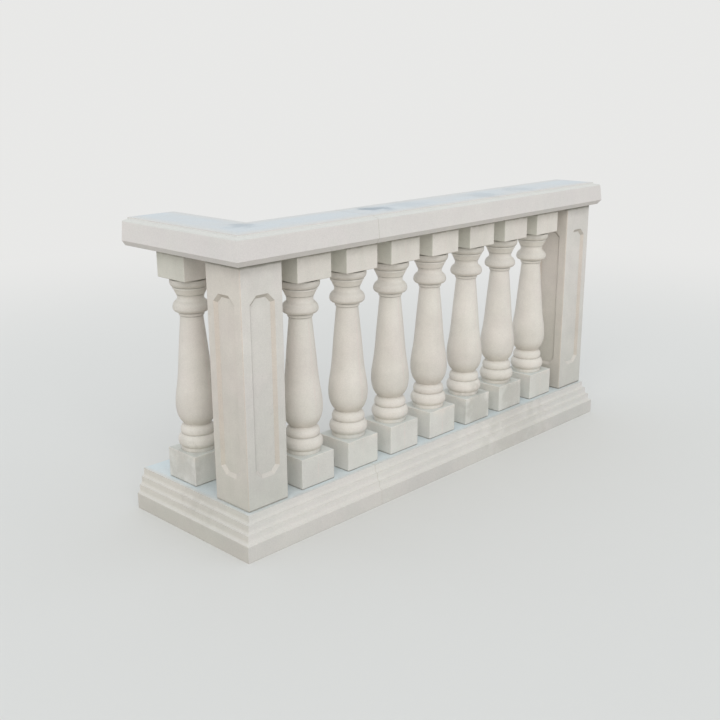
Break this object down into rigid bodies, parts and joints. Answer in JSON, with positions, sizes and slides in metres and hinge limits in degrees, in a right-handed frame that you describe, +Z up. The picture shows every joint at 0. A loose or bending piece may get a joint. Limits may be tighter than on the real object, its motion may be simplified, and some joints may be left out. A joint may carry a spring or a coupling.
{
  "type": "balustrade",
  "caption": "Cast stone balustrade on an L-shaped plan: panelled piers and turned balusters between a coved, stepped base and a moulded rail.",
  "frame": {"origin": "on the ground, on the corner pier's axis", "axes": "+X along the long side towards the end pier, +Y along the short return, +Z up"},
  "size_m": [1.835, 0.561, 0.944],
  "materials": {
    "base_stone": "matt, damp-stained at the foot",
    "rail_stone": "matt, rain-washed on top",
    "pier_stone": "matt",
    "baluster_stone": "matt, with faint casting seams",
    "mortar": "matt, rough"
  },
  "bodies": {
    "root": {"base_corner": "base_stone", "base_joint": "mortar", "base_run": "base_stone", "rail_corner": "rail_stone", "rail_joint": "mortar", "rail_run": "rail_stone", "corner_pier": "pier_stone", "end_pier": "pier_stone", "return_baluster": "baluster_stone", "baluster_1": "baluster_stone", "baluster_2": "baluster_stone", "baluster_3": "baluster_stone", "baluster_4": "baluster_stone", "baluster_5": "baluster_stone", "baluster_6": "baluster_stone", "baluster_7": "baluster_stone", "bed_under_corner_pier": "mortar", "bed_under_end_pier": "mortar", "bed_under_return_baluster": "mortar", "bed_under_baluster_1": "mortar", "bed_under_baluster_2": "mortar", "bed_under_baluster_3": "mortar", "bed_under_baluster_4": "mortar", "bed_under_baluster_5": "mortar", "bed_under_baluster_6": "mortar", "bed_under_baluster_7": "mortar", "bed_over_corner_pier": "mortar", "bed_over_end_pier": "mortar", "bed_over_return_baluster": "mortar", "bed_over_baluster_1": "mortar", "bed_over_baluster_2": "mortar", "bed_over_baluster_3": "mortar", "bed_over_baluster_4": "mortar", "bed_over_baluster_5": "mortar", "bed_over_baluster_6": "mortar", "bed_over_baluster_7": "mortar"}
  },
  "joints": []
}
